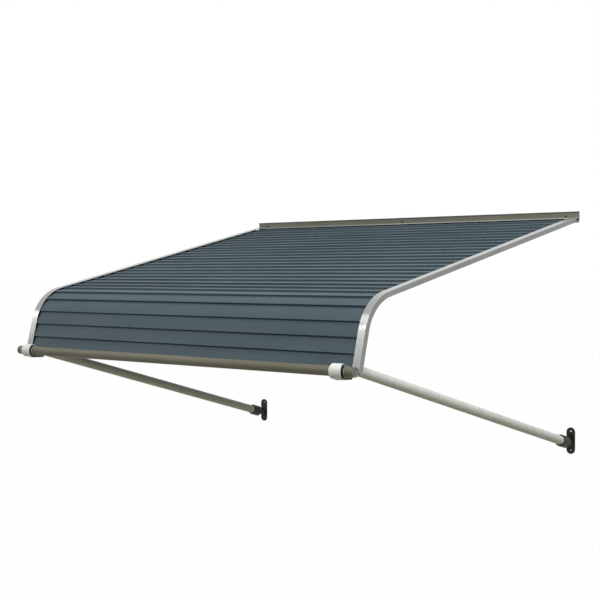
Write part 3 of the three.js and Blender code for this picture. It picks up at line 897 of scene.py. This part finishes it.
def front_clip(name, side):
    keel_inner = collar_x - COLLAR_LENGTH / 2 + KEEL_INSET
    keel_outer = arm_x - ARM_OD / 2 - FLANGE_CLEAR
    keel_low = -COLLAR_OD / 2 - KEEL_BELOW_COLLAR
    bed = COLLAR_OD / 2 + CLEAR
    first = math.asin(KEEL_TOP / bed)
    hug = [first - (first + KEEL_HUG) * k / KEEL_BED_FACETS for k in range(KEEL_BED_FACETS + 1)]
    tail = [-math.pi / 2 * (1 - k / KEEL_TAIL_FACETS) for k in range(KEEL_TAIL_FACETS + 1)]
    outline = arc(0, 0, bed, hug) + [(bed * math.cos(KEEL_HUG), keel_low)]
    outline += arc(KEEL_TAIL - KEEL_TAIL_ROUND, KEEL_TAIL_ROUND - KEEL_TAIL_DEEP,
                   KEEL_TAIL_ROUND, tail)
    outline += [(KEEL_TAIL, KEEL_TOP)]
    keel = slab("front_clip_%s_keel" % name, outline,
                *sorted((side * keel_inner, side * keel_outer)))
    # flat cuts round off the lower corner of the outer end
    middle = Vector((side * (keel_outer - KEEL_END_ROUND), 0, KEEL_END_ROUND + keel_low))
    bpy.ops.object.mode_set(mode="EDIT")
    for turn in KEEL_END_TURNS:
        way = Vector((side * math.sin(turn), 0, -math.cos(turn)))
        bpy.ops.mesh.select_all(action="SELECT")
        bpy.ops.mesh.bisect(plane_co=middle + way * KEEL_END_ROUND, plane_no=way,
                            use_fill=True, clear_outer=True)
    close_up(keel)
    soften(keel, KEEL_EDGE, segments=3, angle=40)

    # the flange with its spigot, and the gusset that joins it to the keel
    axis_up = ARM_ABOVE_FOOT + foot_above_bar
    rim = ARM_OD / 2
    spigot = rim - ARM_WALL - CLEAR
    tip = FLANGE_THICK + SPIGOT_LENGTH
    stub = turned("stub", [(0, 0), (0, rim), (FLANGE_THICK, rim), (FLANGE_THICK, spigot),
                           (tip, spigot), (tip, 0)])
    soften(stub, STUB_EDGE, segments=3)
    put(stub, turn=(0, 0, math.pi / 2))
    inward = side * (arm_x - keel_inner)
    gusset = slab("gusset", [(0, rim), (0, -rim), (inward, -GUSSET_DEEP - axis_up),
                             (inward, KEEL_TOP - axis_up)], 0, FLANGE_THICK)
    put(gusset, turn=(0, 0, math.pi / 2))
    for part in (stub, gusset):
        put(part, (side * arm_x, flange_back, axis_up), (arm_fall + DROP_LEAN, 0, 0))
    combine(keel, [stub, gusset], "UNION")
    smooth(put(keel, bar_centre, (-DROP_LEAN, 0, 0)))
    hand_over(keel, "front_clip_" + name, "arm_" + name, olive)


def stay_arm(name, side):
    end = arm_span - SOCKET_START - SOCKET_SHOULDER - SOCKET_FLOOR - CLEAR
    arm = tube("arm_tube_%s_stay" % name, ARM_OD / 2, ARM_WALL, FLANGE_THICK + CLEAR, end)
    soften(arm, TUBE_EDGE)
    put(arm, turn=(0, 0, math.pi / 2))
    smooth(put(arm, beside(side, arm_x, arm_start), (arm_fall, 0, 0)))
    hand_over(arm, "arm_tube_" + name, "arm_" + name, arm_grey)


# Wall sockets, plates and pins

def lug_round():
    # the half round of the lug and the ears, from top to bottom
    return [(-LUG_RADIUS * math.sin(a), LUG_RADIUS * math.cos(a)) for a in HALF_TURN]


def pin_eye():
    return drill("eye", PIN_OD / 2 + CLEAR, DRILL, SMALL_ROUND)


def stadium(width, height):
    cap = arc(0, height / 2 - width / 2, width / 2, HALF_TURN)
    return cap + [(-x, -z) for x, z in cap]


def wall_socket(name, side):
    outer = arm_bore + SOCKET_WALL
    mouth = SOCKET_START + SOCKET_LENGTH
    root = SOCKET_START + SOCKET_SHOULDER
    floor = root + SOCKET_FLOOR
    cup = turned("wall_socket_%s_cup" % name, [
        (SOCKET_START, 0), (SOCKET_START, SOCKET_BACK), (SOCKET_START + SOCKET_ROUND, outer),
        (mouth, outer), (mouth, arm_bore), (floor, arm_bore), (floor, 0)])
    soften(cup, SOCKET_EDGE, segments=3, angle=25)
    put(cup, turn=(0, 0, math.pi / 2))
    lug = slab("lug", [(root, LUG_RADIUS)] + lug_round() + [(root, -LUG_RADIUS)],
               -LUG_THICK / 2, LUG_THICK / 2)
    soften(lug, LUG_EDGE, angle=50)
    combine(cup, [lug], "UNION")
    combine(cup, [pin_eye()], "DIFFERENCE")
    put(cup, turn=(0, 0, math.pi))
    smooth(put(cup, beside(side, arm_x, wall_pin), (arm_fall, 0, 0)))
    hand_over(cup, "wall_socket_" + name, "arm_" + name, charcoal)


def wall_plate(name, side):
    back, face = PLATE_PIN_OUT, PLATE_PIN_OUT - PLATE_THICK
    outline = stadium(PLATE_WIDTH, PLATE_HEIGHT)
    plate = slab("wall_plate_%s_body" % name, outline, -back, -face)
    soften(plate, PLATE_EDGE, segments=3, angle=50)
    put(plate, (0, 0, PLATE_RISE), (0, 0, -math.pi / 2))
    for end, bore in ((-1, PLATE_HOLE_LOW / 2), (1, PLATE_HOLE_TOP / 2)):
        z = PLATE_RISE + end * PLATE_HOLE_SPAN / 2
        pad = slab("pad", stadium(PAD_WIDTH, PAD_HEIGHT), -face - PAD_DEPTH, -face + PAD_DEPTH)
        put(pad, (0, 0, z), (0, 0, -math.pi / 2))
        hole = drill("hole", bore, DRILL, SMALL_ROUND)
        put(hole, (0, 0, z), (0, 0, math.pi / 2))
        combine(plate, [pad, hole], "DIFFERENCE")
    cheek = lug_round()[1:-1]
    root = face + PLATE_THICK / 2
    ears = []
    for x0, x1 in ((ear_gap, ear_outer), (-ear_outer, -ear_gap)):
        ear = slab("ear", [(root, EAR_ROOT)] + cheek + [(root, -EAR_ROOT)], x0, x1)
        soften(ear, LUG_EDGE, angle=50)
        ears.append(ear)
    combine(plate, ears, "UNION")
    combine(plate, [pin_eye()], "DIFFERENCE")
    smooth(put(plate, beside(side, arm_x, wall_pin)))
    hand_over(plate, "wall_plate_" + name, "bracket_" + name, charcoal)


def pin_rivet(name, side):
    out, head = ear_outer + CLEAR, PIN_HEAD_OD / 2
    tip = [(out, PIN_OD / 2), (out, head), (out + PIN_HEAD / 2, head),
           (out + PIN_HEAD, head - PIN_HEAD / 2), (out + PIN_HEAD, 0)]
    mirrored = [(-x, r) for x, r in reversed(tip)]
    rivet = turned("wall_pin_%s_rivet" % name, mirrored + tip, SMALL_ROUND)
    soften(rivet, RIVET_EDGE)
    smooth(put(rivet, beside(side, arm_x, wall_pin)))
    hand_over(rivet, "wall_pin_" + name, "bracket_" + name, charcoal)


for name, side in SIDES:
    front_clip(name, side)
    stay_arm(name, side)
    wall_socket(name, side)
    wall_plate(name, side)
    pin_rivet(name, side)


# Floor, light and camera

def soft_light(name, place, aim, size, power):
    deselect()
    bpy.ops.object.light_add(type="AREA", location=place)
    lamp = bpy.context.object
    lamp.name = name
    lamp.data.shape = "RECTANGLE"
    lamp.data.size, lamp.data.size_y = size
    lamp.data.energy = power
    lamp.rotation_euler = (Vector(aim) - Vector(place)).to_track_quat("-Z", "Y").to_euler()


def seen_white(tree):
    # 1 for what the camera, metal and glass see, 0 for what lights the object
    path = node(tree, "ShaderNodeLightPath")
    seen = path.outputs["Is Camera Ray"]
    for kind in ("Is Glossy Ray", "Is Transmission Ray"):
        either = node(tree, "ShaderNodeMath", operation="MAXIMUM")
        tree.links.new(seen, either.inputs[0])
        tree.links.new(path.outputs[kind], either.inputs[1])
        seen = either.outputs[0]
    return seen


def mix_shaders(tree, share, first, second, surface):
    mix = node(tree, "ShaderNodeMixShader")
    tree.links.new(share, mix.inputs["Fac"])
    tree.links.new(first, mix.inputs[1])
    tree.links.new(second, mix.inputs[2])
    tree.links.new(mix.outputs["Shader"], surface)


def stage():
    deselect()
    bpy.ops.mesh.primitive_plane_add(size=FLOOR_SIZE, location=(0, 0, FLOOR_LEVEL))
    floor = bpy.context.object
    floor.name = "floor"
    material, tree, shader = finish("pale_floor", Base_Color=FLOOR_COLOUR, Roughness=0.8)
    # the share that is not white keeps the shadow
    share = node(tree, "ShaderNodeMath", operation="MULTIPLY")
    share.inputs[1].default_value = FLOOR_WHITE
    tree.links.new(seen_white(tree), share.inputs[0])
    glow = node(tree, "ShaderNodeEmission")
    mix_shaders(tree, share.outputs[0], shader.outputs["BSDF"], glow.outputs["Emission"],
                tree.nodes["Material Output"].inputs["Surface"])
    # the white is only seen, so no light is sampled from it
    material.cycles.emission_sampling = "NONE"
    floor.data.materials.append(material)


def surroundings():
    world = bpy.data.worlds.new("studio")
    bpy.context.scene.world = world
    world.use_nodes = True
    tree = world.node_tree
    light = tree.nodes["Background"]
    light.inputs["Color"].default_value = STUDIO_COLOUR
    light.inputs["Strength"].default_value = STUDIO_LIGHT
    white = node(tree, "ShaderNodeBackground")
    white.inputs["Color"].default_value = (1, 1, 1, 1)
    white.inputs["Strength"].default_value = 1.0
    mix_shaders(tree, seen_white(tree), light.outputs["Background"], white.outputs["Background"],
                tree.nodes["World Output"].inputs["Surface"])


def photo_camera():
    deselect()
    bpy.ops.object.camera_add(location=CAMERA_PLACE,
                              rotation=(math.pi / 2 - CAMERA_DIP, 0, CAMERA_TURN))
    camera = bpy.context.object
    camera.data.sensor_width = CAMERA_SENSOR
    camera.data.lens = CAMERA_LENS
    camera.data.clip_end = CAMERA_FAR
    bpy.context.scene.camera = camera


stage()
surroundings()
for lamp in LAMPS:
    soft_light(*lamp)
photo_camera()
bpy.context.scene.view_settings.view_transform = "Standard"
deselect()
